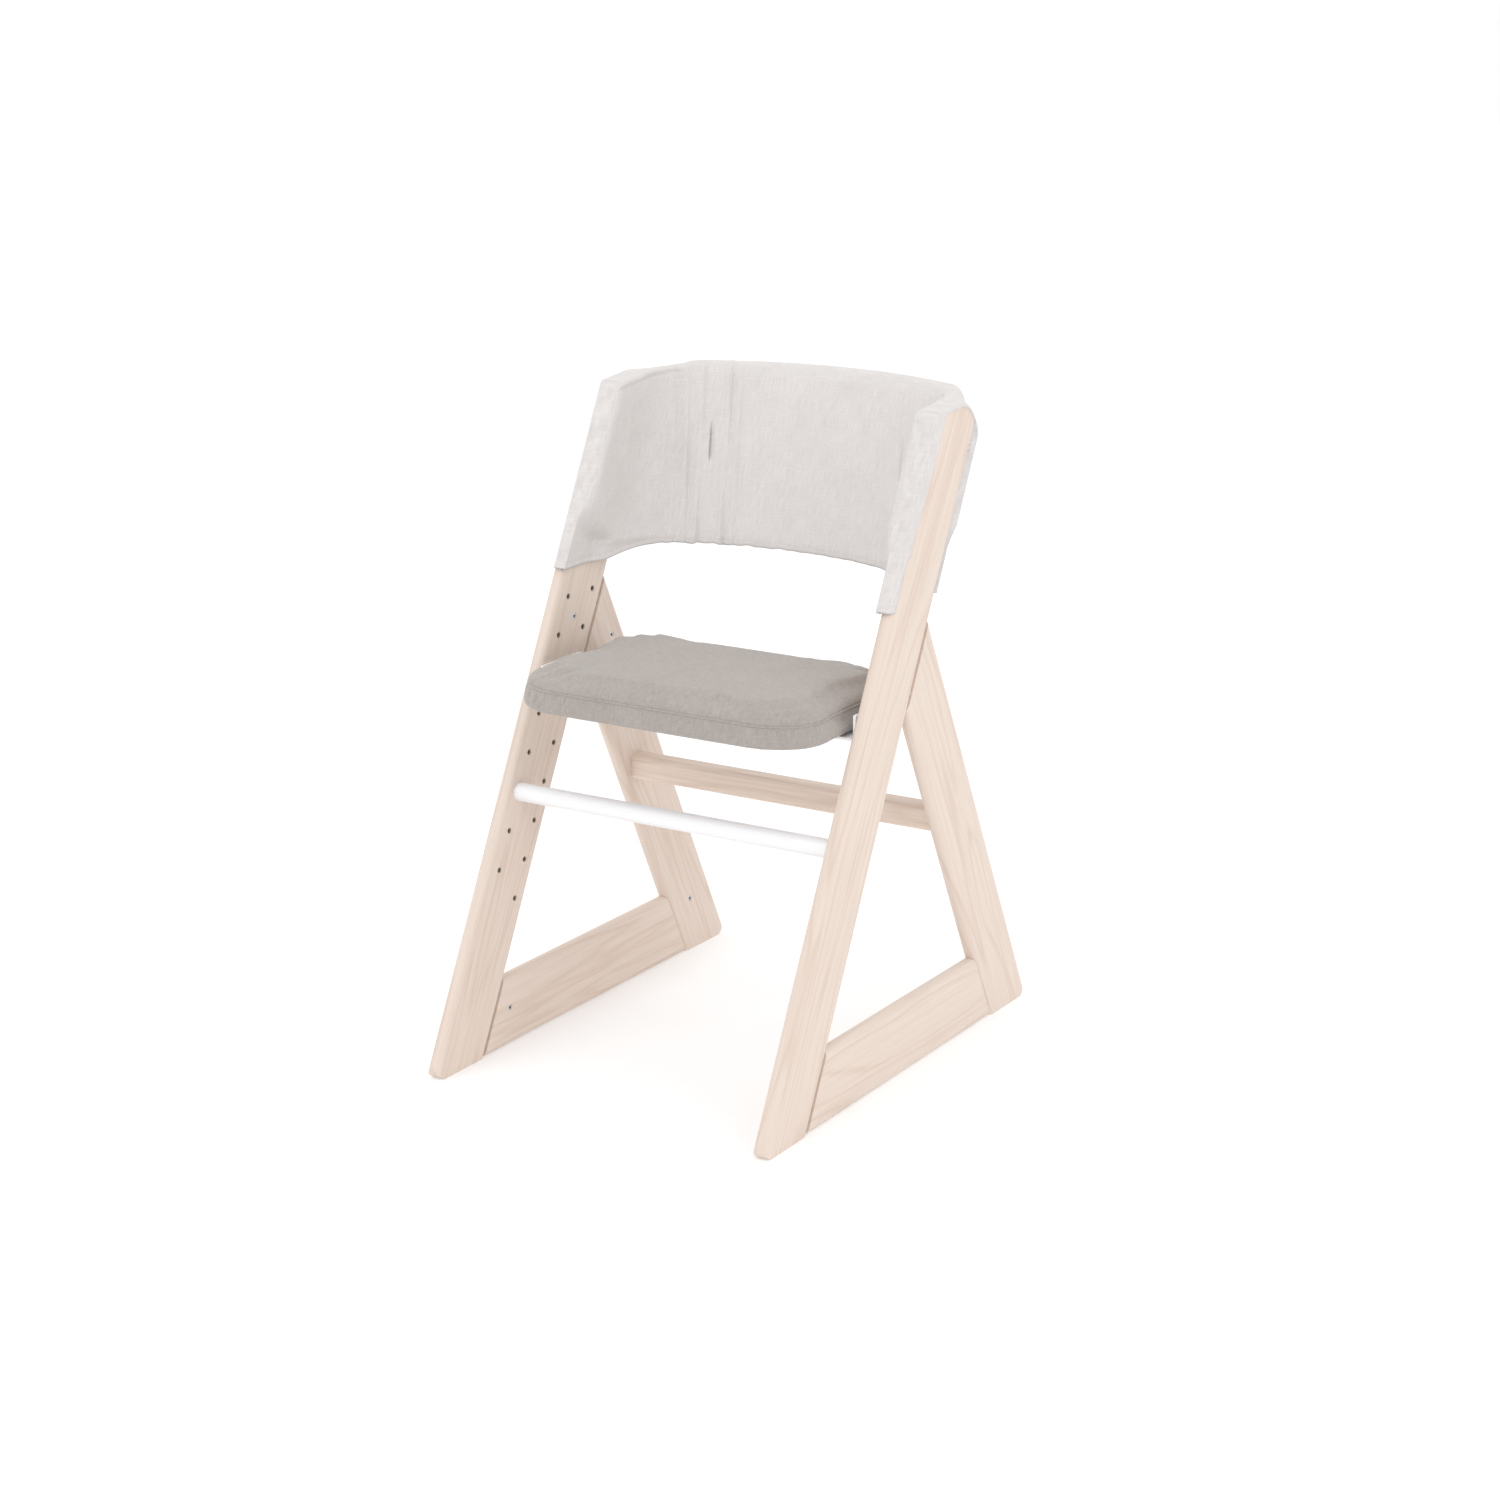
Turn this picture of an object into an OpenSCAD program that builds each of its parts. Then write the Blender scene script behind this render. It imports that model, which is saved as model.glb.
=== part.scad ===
// Baby high chair: two lambda-shaped wooden side frames, an upholstered seat,
// a bent plywood backrest in a fabric sleeve, a white footrest bar and a crossbar.
// Millimetres. +Z is up, the sitter faces -Y, and X = 0 is the plane of symmetry.
// The origin is on the floor, at the middle of the footprint. Left is the -X side.

/* [Side frames] */
// Overall width across the outer faces of the side frames
frame_w = 480; // [440:1:560]
// Length of a side frame along the floor, between its sharp corners
foot_l = 655; // [600:1:720]
// Height of the front legs
leg_h = 803; // [760:1:840]
// Width of each leg, strut and floor rail, square to its length
member_w = 90; // [80:1:96]
// Thickness of each leg, strut and floor rail
member_t = 18; // [17:1:24]
// Rounding of the long edges
edge_r = 8; // [3:0.5:8]
// Rounding of the pointed feet
tip_r = 14; // [8:1:20]
// Rise of the legs' tops from front to rear, in degrees
top_rise = 5.7; // [0:0.1:10]

/* [Adjustment holes] */
// Height of the lowest hole
hole_z0 = 187; // [160:1:200]
// Height between two levels
hole_pitch = 44.5; // [40:0.5:45]
// Number of levels
hole_levels = 9; // [7:1:9]
// Distance of the front holes behind the leg's front edge, measured level
hole_front = 24.3; // [20:0.1:28]
// Level distance between the front and the rear hole
hole_gap = 52; // [45:1:55]

/* [Bars] */
// Level of holes that holds the footrest bar
footrest_level = 3; // [1:1:4]
// Outer diameter of the footrest bar
footrest_d = 23; // [18:1:28]
// Depth of the rear crossbar, front to back
crossbar_d = 28; // [20:1:32]
// Height of the rear crossbar
crossbar_h = 32; // [26:1:40]
// Height of the crossbar's axis above the floor
crossbar_z = 291; // [240:1:340]

/* [Seat] */
// Level of holes that holds the seat
seat_level = 6; // [5:1:6]
// Height of the seat's underside
seat_z = 440; // [438:1:441]
// Width of the seat
seat_w = 414; // [380:1:416]
// Front edge of the seat, behind the tips of the feet
seat_front = 136; // [110:1:160]
// Back edge of the seat, behind the tips of the feet
seat_back = 404; // [370:1:410]
// Thickness of the upholstered seat at its sides
seat_t = 44; // [36:1:50]
// Radius of the front corners
seat_front_r = 95; // [70:1:120]
// Radius of the rear corners
seat_back_r = 60; // [40:1:90]

/* [Backrest] */
// Height of the backrest shell's lower edge
back_z0 = 604; // [595:1:620]
// Height of the backrest shell's upper edge
back_z1 = 790; // [770:1:792]
// Thickness of the bent plywood
ply_t = 12; // [9:1:14]
// Depth of the bent shell, square to the legs' slope
back_d = 155; // [140:1:165]
// Radius of the gently bowed back
bow_r = 446; // [400:1:600]
// Outer radius of the two bends
bend_r = 80; // [60:1:90]
// Rounding of the lower front corners of the shell's wings
wing_r = 60; // [20:1:60]
// Thickness of the fabric sleeve
cover_t = 5; // [3:0.5:6]
// Thickness of the sleeve over the top edge
cover_top = 7; // [5:0.5:9]
// Height of the sleeve's hem
cover_z0 = 582; // [578:1:585]

/* [Hidden] */
$fn = 64;

lean = atan(1 / 2);                 // slope of legs and struts from the vertical
member_l = member_w / cos(lean);    // a member's width measured level
half_w = frame_w / 2;
inner_x = half_w - member_t;        // inner faces of the side frames
far = 2000;                         // beyond every edge of the chair
over = 1;                           // overshoot of a cut

top_front_r = 20;                   // rounding of the legs' top corners
top_rear_r = 30;
insert_d = 8;
insert_l = 12;
thread_d = 6;
dowel_d = 8;
dowel_l = 40;
stud_d = 6;
stud_z = [48.6, 72.6];              // heights of the front and rear rail studs
dowel_rise = 31;                    // from a stud to the dowel beside it
joint_v = 598.8;                    // the strut's stud, along the leg from the floor
joint_dowel_v = 35;                 // from that stud to the dowels beside it
joint_reach = 45;                   // from the leg's rear edge to the barrel nut
rail_nut_reach = 30;                // from the leg's rear edge to the rail's nut
crossbar_y = 442;
crossbar_nut_x = 180;
bracket_t = 3;
bracket_half_l = 42;
bracket_up = 31;
bracket_in = 70;
screw_d = 4;
screw_l = 13;
board_t = 10;
skin_t = 2;
board_bottom = seat_z + skin_t;
back_bolt_v = [735, 790, 845];      // backrest bolts, along the leg from the floor
slot_x = 136;                       // harness slots in the backrest
slot_w = 9;
slot_v = [832, 888];

// ---- positions ----
function hole_z(level) = hole_z0 + level * hole_pitch;
function leg_front(z) = z / 2;
function leg_rear(z) = z / 2 + member_l;
function strut_front(z) = foot_l - member_l - z / 2;
function strut_rear(z) = foot_l - z / 2;
function front_levels() = [for (i = [1 : hole_levels - 1]) [leg_front(hole_z(i)) + hole_front, hole_z(i)]];
function rear_levels() =
    [for (i = [0 : hole_levels - 1]) [leg_front(hole_z(i)) + hole_front + hole_gap, hole_z(i)]];
function all_holes() = concat(front_levels(), rear_levels());
// a point given across (u) and along (v) the leg, as [y, z]
function on_leg(u, v) = [u * cos(lean) + v * sin(lean), v * cos(lean) - u * sin(lean)];

// ---- placing ----
module on_floor() translate([0, -foot_l / 2, 0]) children();
module side(s) if (s > 0) children(); else mirror([1, 0, 0]) children();
// the leg's own axes: y across the leg, z along it
module along_leg() rotate([-lean, 0, 0]) children();
// the strut's own axes: y across the strut, z along it
module along_strut() translate([0, foot_l, 0]) rotate([lean, 0, 0]) children();
// an outline drawn in y and z, extruded in x
module across(x0, x1) translate([x0, 0, 0]) rotate([90, 0, 90]) linear_extrude(x1 - x0) children();
// a rod in the x direction from x0 to x1, through [y, z]
module rod_x(p, d, x0, x1) translate([x0, p[0], p[1]]) rotate([0, 90, 0]) cylinder(d = d, h = x1 - x0);
// a rod in the y direction from y0 to y1
module rod_y(x, z, d, y0, y1) translate([x, y0, z]) rotate([-90, 0, 0]) cylinder(d = d, h = y1 - y0);

// ---- wooden members ----
// a board's section, t thick and w wide, with four rounded edges
module board_section(t, w, r) {
    translate([0, r]) square([t, w - 2 * r]);
    translate([r, 0]) square([t - 2 * r, w]);
    for (x = [r, t - r]) for (y = [r, w - r]) translate([x, y]) circle(r);
}

// what is taken off to round a corner at p between edges that run at angles a and b
module corner_waste(p, a, b, r) {
    half = (b - a) / 2;
    reach = r / tan(half);
    mid = [cos(a + half), sin(a + half)];
    centre = p + r / sin(half) * mid;
    t1 = p + reach * [cos(a), sin(a)] + over * [sin(a), -cos(a)];
    t2 = p + reach * [cos(b), sin(b)] + over * [-sin(b), cos(b)];
    difference() {
        polygon([centre, t1, p - over / sin(half) * mid, t2]);
        translate(centre) circle(r);
    }
}

module below_floor() translate([-far, -far, -far]) cube([2 * far, 2 * far, far]);
// everything in front of the leg's rear edge
module ahead_of_leg_rear() along_leg() translate([-far, -far, -far]) cube([2 * far, far + member_w, 2 * far]);
// everything behind the strut's front edge
module behind_strut_front() along_strut() translate([-far, -member_w, -far]) cube([2 * far, far, 2 * far]);

slope = 90 - lean;
// height of the sharp corner at the front of a leg's top
top_front_z = (leg_h - leg_rear(leg_h) * tan(top_rise)) / (1 - tan(top_rise) / 2);
// the half-space above a plane that rises with the legs' tops, rise above them
module above_leg_top(rise) translate([-far, leg_rear(leg_h), leg_h + rise]) rotate([top_rise, 0, 0])
    translate([0, -far, 0]) cube([2 * far, 2 * far, far]);
module leg_blank() {
    difference() {
        along_leg() translate([inner_x, 0, -member_w]) linear_extrude(leg_h + 4 * member_w)
            board_section(member_t, member_w, edge_r);
        below_floor();
        above_leg_top(0);
        across(inner_x - over, half_w + over) {
            corner_waste([0, 0], 0, slope, tip_r);
            corner_waste([leg_front(top_front_z), top_front_z], slope - 180, top_rise, top_front_r);
            corner_waste([leg_rear(leg_h), leg_h], 180 + top_rise, 180 + slope, top_rear_r);
        }
    }
}

// a stud's bore and its barrel nut's hole from the inner face
module nut_hole(p) rod_x(p, dowel_d, inner_x - over, inner_x + 14);
mid_x = half_w - member_t / 2;

function leg_nut() = on_leg(member_w - joint_reach, joint_v);
module joint_stud(d, extra) along_leg()
    rod_y(mid_x, joint_v, d, member_w - joint_reach - extra, member_w + joint_reach + extra);
function strut_nut() = on_leg(member_w + joint_reach, joint_v);
module joint_dowels(d, l) along_leg() for (v = [-1, 1])
    rod_y(mid_x, joint_v + v * joint_dowel_v, d, member_w - l / 2, member_w + l / 2);
function rail_nut() = [leg_rear(stud_z[0]) + rail_nut_reach, stud_z[0]];
module rail_stud(d, extra) rod_y(mid_x, stud_z[0], d, leg_rear(stud_z[0]) - 35 - extra, rail_nut()[0] + extra);
function foot_nut() = [strut_front(stud_z[1]) + 46.7, stud_z[1]];
module foot_stud(d, extra) rod_y(mid_x, stud_z[1], d, strut_front(stud_z[1]) - 45 - extra, foot_nut()[0] + extra);
module rail_dowels(d, l) {
    z1 = stud_z[0] - dowel_rise;
    z2 = stud_z[1] - dowel_rise;
    rod_y(mid_x, z1, d, leg_rear(z1) - l / 2, leg_rear(z1) + l / 2);
    rod_y(mid_x, z2, d, strut_front(z2) - l / 2, strut_front(z2) + l / 2);
}

module front_leg(s) color("bisque") on_floor() side(s) difference() {
    leg_blank();
    for (p = all_holes()) rod_x(p, insert_d, inner_x - over, inner_x + insert_l);
    for (v = back_bolt_v) rod_x(on_leg(member_w / 2, v), insert_d, inner_x - over, inner_x + insert_l);
    nut_hole(leg_nut());
    joint_stud(stud_d, 0);
    joint_dowels(dowel_d, dowel_l);
    rail_stud(stud_d, 0);
    rail_dowels(dowel_d, dowel_l);
}

module rear_strut(s) color("bisque") on_floor() side(s) difference() {
    along_strut() translate([inner_x, -member_w, -member_w]) linear_extrude(leg_h)
        board_section(member_t, member_w, edge_r);
    below_floor();
    ahead_of_leg_rear();
    across(inner_x - over, half_w + over) corner_waste([foot_l, 0], lean + 90, 180, tip_r);
    nut_hole(strut_nut());
    nut_hole(foot_nut());
    joint_stud(stud_d, 0);
    joint_dowels(dowel_d, dowel_l);
    foot_stud(stud_d, 0);
    rail_dowels(dowel_d, dowel_l);
    crossbar_stud_at(1, stud_d);
    crossbar_dowels_at(1);
    crossbar_insert_at(1, insert_d);
}

module floor_rail(s) color("bisque") on_floor() side(s) difference() {
    translate([inner_x, 0, 0]) rotate([-90, 0, 0]) translate([0, -member_w, 0])
        linear_extrude(foot_l) board_section(member_t, member_w, edge_r);
    ahead_of_leg_rear();
    behind_strut_front();
    nut_hole(rail_nut());
    rail_stud(stud_d, 0);
    foot_stud(stud_d, 0);
    rail_dowels(dowel_d, dowel_l);
}

// ---- joint hardware ----
module frame_dowels(s) color("tan") on_floor() side(s) {
    joint_dowels(dowel_d, dowel_l);
    rail_dowels(dowel_d, dowel_l);
}

// the studs stop at the near wall of each barrel nut
module joint_studs(s) color("silver") on_floor() side(s) difference() {
    union() {
        joint_stud(stud_d, 0);
        rail_stud(stud_d, 0);
        foot_stud(stud_d, 0);
    }
    for (p = [leg_nut(), strut_nut(), rail_nut(), foot_nut()]) nut_hole(p);
}

// each barrel nut has a key socket in the end that faces the sitter
module barrel_nuts(s) color("gray") on_floor() side(s)
    for (p = [leg_nut(), strut_nut(), rail_nut(), foot_nut()]) difference() {
        rod_x(p, dowel_d, inner_x + 0.5, inner_x + 14);
        rod_x(p, 4, inner_x, inner_x + 4);
    }

module leg_inserts(s) color("darkgray") on_floor() side(s) for (p = all_holes()) difference() {
    rod_x(p, insert_d, inner_x + 0.5, inner_x + insert_l);
    rod_x(p, thread_d, inner_x, inner_x + insert_l + over);
}

// ---- rear crossbar ----
module crossbar_stud_at(s, d) rod_x([crossbar_y, crossbar_z], d, min(s * crossbar_nut_x, s * (inner_x + 12)),
    max(s * crossbar_nut_x, s * (inner_x + 12)));
module crossbar_insert_at(s, d) rod_x([crossbar_y, crossbar_z], d, min(s * inner_x, s * (inner_x + insert_l)),
    max(s * inner_x, s * (inner_x + insert_l)));
module crossbar_dowels_at(s) for (z = [-9.5, 9.5]) rod_x([crossbar_y, crossbar_z + z], 6,
    min(s * (inner_x - 20), s * (inner_x + 12)), max(s * (inner_x - 20), s * (inner_x + 12)));
module crossbar_nut_at(s, d) translate([s * crossbar_nut_x, crossbar_y, crossbar_z - crossbar_h / 2 - over])
    cylinder(d = d, h = crossbar_h / 2 + 7 + over);

module rear_crossbar() color("bisque") on_floor() difference() {
    translate([-inner_x, crossbar_y, crossbar_z]) rotate([90, 0, 90])
        translate([-crossbar_d / 2, -crossbar_h / 2, 0]) linear_extrude(2 * inner_x)
        board_section(crossbar_d, crossbar_h, 6);
    for (s = [-1, 1]) {
        crossbar_stud_at(s, stud_d);
        crossbar_dowels_at(s);
        crossbar_nut_at(s, 10);
    }
}
module crossbar_dowels() color("tan") on_floor() for (s = [-1, 1]) crossbar_dowels_at(s);
module crossbar_inserts() color("darkgray") on_floor() for (s = [-1, 1]) difference() {
    crossbar_insert_at(s, insert_d);
    crossbar_stud_at(s, thread_d);
}
module crossbar_studs() color("silver") on_floor() for (s = [-1, 1]) difference() {
    crossbar_stud_at(s, stud_d);
    crossbar_nut_at(s, 10);
}
module crossbar_barrel_nuts() color("gray") on_floor() for (s = [-1, 1]) intersection() {
    crossbar_nut_at(s, 10);
    translate([-far, 0, crossbar_z - 7]) cube([2 * far, far, 14]);
}

// ---- footrest bar ----
footrest_p = [leg_front(hole_z(footrest_level)) + hole_front, hole_z(footrest_level)];
plug_l = 18;
module footrest_tube() color("white") on_floor() difference() {
    rod_x(footrest_p, footrest_d, -inner_x, inner_x);
    rod_x(footrest_p, footrest_d - 3, -inner_x - over, inner_x + over);
}
module footrest_end_plugs() color("white") on_floor() for (s = [-1, 1]) side(s) {
    rod_x(footrest_p, footrest_d - 3, inner_x - plug_l, inner_x);
    rod_x(footrest_p, thread_d, inner_x, inner_x + 11);
}

// ---- seat ----
// the seat's outline, drawn in x and y, smaller by inset all round
module seat_outline(inset) {
    w = seat_w / 2 - inset;
    y0 = seat_front + inset;
    y1 = seat_back - inset;
    rf = seat_front_r - inset;
    rb = seat_back_r - inset;
    translate([-w, y0 + rf]) square([2 * w, y1 - rb - y0 - rf]);
    translate([-w + rf, y0]) square([2 * (w - rf), rf]);
    translate([-w + rb, y1 - rb]) square([2 * (w - rb), rb]);
    for (s = [-1, 1]) {
        translate([s * (w - rf), y0 + rf]) circle(rf);
        translate([s * (w - rb), y1 - rb]) circle(rb);
    }
}
seat_mid_y = leg_front(hole_z(seat_level)) + hole_front + hole_gap / 2;
function screw_places() = [for (s = [-1, 1]) for (x = [165, 195]) for (y = [-27, 27]) [s * x, seat_mid_y + y]];
module screw_holes() for (p = screw_places())
    translate([p[0], p[1], seat_z - bracket_t - over]) cylinder(d = screw_d, h = screw_l + over);

module seat_board() color("burlywood") on_floor() difference() {
    translate([0, 0, board_bottom]) linear_extrude(board_t) seat_outline(skin_t);
    screw_holes();
}
module seat_foam() color("lightyellow") on_floor() translate([0, 0, board_bottom + board_t])
    linear_extrude(seat_t - board_t - 2 * skin_t) seat_outline(skin_t);
module seat_cushion_cover() color("rosybrown") on_floor() difference() {
    translate([0, 0, seat_z]) linear_extrude(seat_t) seat_outline(0);
    translate([0, 0, board_bottom]) linear_extrude(seat_t - 2 * skin_t) seat_outline(skin_t);
    screw_holes();
}
module seat_board_screws() color("silver") on_floor() for (p = screw_places())
    translate([p[0], p[1], seat_z - bracket_t]) {
        cylinder(d = screw_d, h = screw_l);
        translate([0, 0, -2.5]) cylinder(d1 = 6, d2 = 8, h = 2.5);
    }

function bracket_holes() = [for (y = [-1, 1]) [seat_mid_y + y * hole_gap / 2, hole_z(seat_level)]];
module seat_bracket(s) color("white") on_floor() side(s) difference() {
    union() {
        translate([inner_x - bracket_t, seat_mid_y - bracket_half_l, seat_z - bracket_t])
            cube([bracket_t, 2 * bracket_half_l, bracket_up]);
        translate([inner_x - bracket_in, seat_mid_y - bracket_half_l, seat_z - bracket_t])
            cube([bracket_in, 2 * bracket_half_l, bracket_t]);
    }
    for (p = bracket_holes()) rod_x(p, thread_d, inner_x - bracket_t - over, inner_x + over);
    screw_holes();
}
module bracket_bolts(s) color("silver") on_floor() side(s) for (p = bracket_holes()) difference() {
    union() {
        rod_x(p, thread_d, inner_x - bracket_t, inner_x + 11);
        rod_x(p, 10.5, inner_x - bracket_t - 3.3, inner_x - bracket_t);
    }
    rod_x(p, 4, inner_x - bracket_t - 3.3 - over, inner_x - bracket_t - 1);
}

// ---- backrest ----
bend_x = inner_x - bend_r;
bow_y = back_d - bow_r;
bend_y = bow_y + sqrt(pow(bow_r - bend_r, 2) - pow(bend_x, 2));

// the filled outline inside the bent shell's outer face, grown by g,
// drawn in x and across the leg, and running far forward
module back_outline(g) {
    reach = 2;
    difference() {
        intersection() {
            translate([0, bow_y]) circle(bow_r + g, $fn = 240);
            polygon([[0, bow_y], [-reach * bend_x, bow_y + reach * (bend_y - bow_y)],
                [reach * bend_x, bow_y + reach * (bend_y - bow_y)]]);
        }
        translate([-far, -far - member_w]) square([2 * far, far]);
    }
    translate([-bend_x - bend_r - g, -member_w]) square([2 * (bend_x + bend_r + g), bend_y + member_w]);
    translate([-bend_x, 0]) square([2 * bend_x, bend_y + 0.7 * bend_r]);
    for (s = [-1, 1]) translate([s * bend_x, bend_y]) circle(bend_r + g);
}
module along_legs(z0, z1) intersection() {
    along_leg() translate([0, 0, back_z0 / 2]) linear_extrude(leg_h) children();
    translate([-far, -far, z0]) cube([2 * far, 2 * far, z1 - z0]);
}
module back_slots(x_grow) along_leg() for (s = [-1, 1]) {
    w = slot_w + x_grow;
    translate([s * slot_x - w / 2, member_w, slot_v[0]]) cube([w, member_w, slot_v[1] - slot_v[0]]);
    for (v = slot_v) rod_y(s * slot_x, v, w, member_w, 2 * member_w);
}
module back_bolt(p, grow) {
    rod_x(p, thread_d, inner_x - ply_t - grow, inner_x + 11);
    translate([inner_x - ply_t, p[0], p[1]]) rotate([0, 90, 0]) cylinder(d1 = 12, d2 = 6, h = 3);
}
module shell_blank() difference() {
    along_legs(back_z0, back_z1) back_outline(0);
    along_legs(back_z0 - 1, back_z1 + 1) back_outline(-ply_t);
    along_leg() translate([-far, -far, 0]) cube([2 * far, far, far]);
    across(-half_w, half_w) corner_waste([leg_front(back_z0), back_z0], 0, slope, wing_r);
}

module backrest_shell() color("burlywood") on_floor() difference() {
    shell_blank();
    back_slots(0);
    for (s = [-1, 1]) side(s) for (v = back_bolt_v) back_bolt(on_leg(member_w / 2, v), over);
}
module backrest_bolts(s) color("silver") on_floor() side(s) for (v = back_bolt_v) difference() {
    back_bolt(on_leg(member_w / 2, v), 0);
    rod_x(on_leg(member_w / 2, v), 3.5, inner_x - ply_t - over, inner_x - ply_t + 2);
}
module backrest_inserts(s) color("darkgray") on_floor() side(s) for (v = back_bolt_v) difference() {
    rod_x(on_leg(member_w / 2, v), insert_d, inner_x, inner_x + insert_l);
    rod_x(on_leg(member_w / 2, v), thread_d, inner_x - over, inner_x + insert_l + over);
}

// the sleeve wraps the shell, the front edges and tops of the legs, is stretched
// across from one leg's rear edge to the other's, and rolls over those edges;
// the legs' outer faces stay bare
wrap_x = half_w - 2;
wrap_front = 6;
wrap_rear = 14;
wrap_z0 = 632;
module backrest_cover() color("gainsboro") on_floor() difference() {
    union() {
        along_legs(cover_z0, leg_h + cover_top) intersection() {
            translate([0, bow_y]) circle(bow_r + cover_t, $fn = 240);
            translate([-wrap_x, -wrap_front]) square([2 * wrap_x, far]);
        }
        intersection() {
            along_leg() translate([-wrap_x, member_w - over, back_z0 / 2])
                cube([2 * wrap_x, wrap_rear + over, leg_h]);
            translate([-far, 0, wrap_z0]) cube([2 * far, far, leg_h - 24 - wrap_z0]);
        }
    }
    along_legs(cover_z0 - 1, leg_h + cover_top + 1) back_outline(-ply_t - cover_t);
    shell_blank();
    for (s = [-1, 1]) side(s) {
        leg_blank();
        // the sleeve leaves the leg's outer face bare up to the leg's top
        along_leg() translate([inner_x, 0, 0]) cube([far, member_w, (leg_h - 40) / cos(lean)]);
    }
    along_legs(cover_z0 - 1, back_z0) difference() {
        back_outline(0);
        back_outline(-ply_t);
    }
    back_slots(-5);
    // in front of the legs' rear edges the sleeve's top rises with the legs' tops
    intersection() {
        above_leg_top(cover_top - 1);
        translate([-far, -far, 0]) cube([2 * far, far + leg_rear(leg_h), 2 * far]);
    }
}

front_leg(-1);  // left_front_leg
front_leg(1);  // right_front_leg
rear_strut(-1);  // left_rear_strut
rear_strut(1);  // right_rear_strut
floor_rail(-1);  // left_floor_rail
floor_rail(1);  // right_floor_rail
frame_dowels(-1);  // left_frame_dowels
frame_dowels(1);  // right_frame_dowels
joint_studs(-1);  // left_joint_studs
joint_studs(1);  // right_joint_studs
barrel_nuts(-1);  // left_barrel_nuts
barrel_nuts(1);  // right_barrel_nuts
leg_inserts(-1);  // left_leg_inserts
leg_inserts(1);  // right_leg_inserts
rear_crossbar();
crossbar_dowels();
crossbar_studs();
crossbar_barrel_nuts();
crossbar_inserts();
footrest_tube();
footrest_end_plugs();
seat_board();
seat_foam();
seat_cushion_cover();
seat_bracket(-1);  // left_seat_bracket
seat_bracket(1);  // right_seat_bracket
bracket_bolts(-1);  // left_bracket_bolts
bracket_bolts(1);  // right_bracket_bolts
seat_board_screws();
backrest_shell();
backrest_bolts(-1);  // left_backrest_bolts
backrest_bolts(1);  // right_backrest_bolts
backrest_inserts(-1);  // left_backrest_inserts
backrest_inserts(1);  // right_backrest_inserts
backrest_cover();
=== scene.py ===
"""Baby high chair: two lambda-shaped side frames of whitewashed wood, a padded seat,
a bent plywood back in a linen sleeve, and a white footrest bar."""

import math

import bmesh
import bpy
import numpy as np
from mathutils import Matrix, Vector, noise


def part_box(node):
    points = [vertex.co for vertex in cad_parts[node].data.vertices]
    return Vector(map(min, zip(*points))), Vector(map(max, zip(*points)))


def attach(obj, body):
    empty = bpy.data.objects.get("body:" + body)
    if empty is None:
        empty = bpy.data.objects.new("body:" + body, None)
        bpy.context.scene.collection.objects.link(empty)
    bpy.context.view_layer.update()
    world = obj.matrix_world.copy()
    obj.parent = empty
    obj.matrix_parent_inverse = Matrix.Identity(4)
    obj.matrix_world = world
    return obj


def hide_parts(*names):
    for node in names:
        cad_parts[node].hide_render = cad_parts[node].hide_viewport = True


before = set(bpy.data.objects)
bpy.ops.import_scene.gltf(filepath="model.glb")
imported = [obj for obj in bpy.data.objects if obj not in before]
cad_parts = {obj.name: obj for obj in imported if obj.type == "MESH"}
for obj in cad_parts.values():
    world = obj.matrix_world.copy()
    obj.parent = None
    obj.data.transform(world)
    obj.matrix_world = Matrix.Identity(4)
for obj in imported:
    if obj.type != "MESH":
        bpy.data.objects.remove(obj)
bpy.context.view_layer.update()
MM = 0.001

# ---- sizes taken from the frame ----
LEAN = math.atan(0.5)
rail_low, rail_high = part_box("left_floor_rail")
leg_low, leg_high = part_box("right_front_leg")
seat_low, seat_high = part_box("seat_cushion_cover")
shell_low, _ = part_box("backrest_shell")
MEMBER_WIDTH = rail_high.z
HALF_WIDTH = leg_high.x
INNER_FACE = leg_low.x
TIP_Y = rail_low.y - MEMBER_WIDTH / math.cos(LEAN)


def smooth_step(t):
    t = np.clip(t, 0.0, 1.0)
    return t * t * (3 - 2 * t)


def linear(r, g, b):
    """A colour named by its display values, 0 to 255, as the shader wants it."""
    return tuple(
        (c / 255 / 12.92) if c <= 10 else ((c / 255 + 0.055) / 1.055) ** 2.4 for c in (r, g, b)
    ) + (1.0,)


# ---- node helpers ----
def new_material(name):
    material = bpy.data.materials.new(name)
    material.use_nodes = True
    tree = material.node_tree
    return material, tree, tree.nodes["Principled BSDF"]


def object_grid(tree, turn=(0, 0, 0), scale=(1, 1, 1)):
    """Object coordinates, turned first and stretched after."""
    place = tree.nodes.new("ShaderNodeTexCoord")
    turned = tree.nodes.new("ShaderNodeMapping")
    turned.inputs["Rotation"].default_value = turn
    stretched = tree.nodes.new("ShaderNodeMapping")
    stretched.inputs["Scale"].default_value = scale
    tree.links.new(place.outputs["Object"], turned.inputs["Vector"])
    tree.links.new(turned.outputs["Vector"], stretched.inputs["Vector"])
    return stretched.outputs["Vector"]


def cloth_grid(tree, scale=(1, 1, 1)):
    """The cloth's own layout, in metres along and up the cloth, stretched."""
    layout = tree.nodes.new("ShaderNodeUVMap")
    layout.uv_map = "cloth"
    stretched = tree.nodes.new("ShaderNodeMapping")
    stretched.inputs["Scale"].default_value = scale
    tree.links.new(layout.outputs["UV"], stretched.inputs["Vector"])
    return stretched.outputs["Vector"]


def noise_at(tree, vector, scale, detail=4.0, roughness=0.6, distortion=0.0):
    node = tree.nodes.new("ShaderNodeTexNoise")
    node.inputs["Scale"].default_value = scale
    node.inputs["Detail"].default_value = detail
    node.inputs["Roughness"].default_value = roughness
    node.inputs["Distortion"].default_value = distortion
    tree.links.new(vector, node.inputs["Vector"])
    return node.outputs["Fac"]


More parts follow.
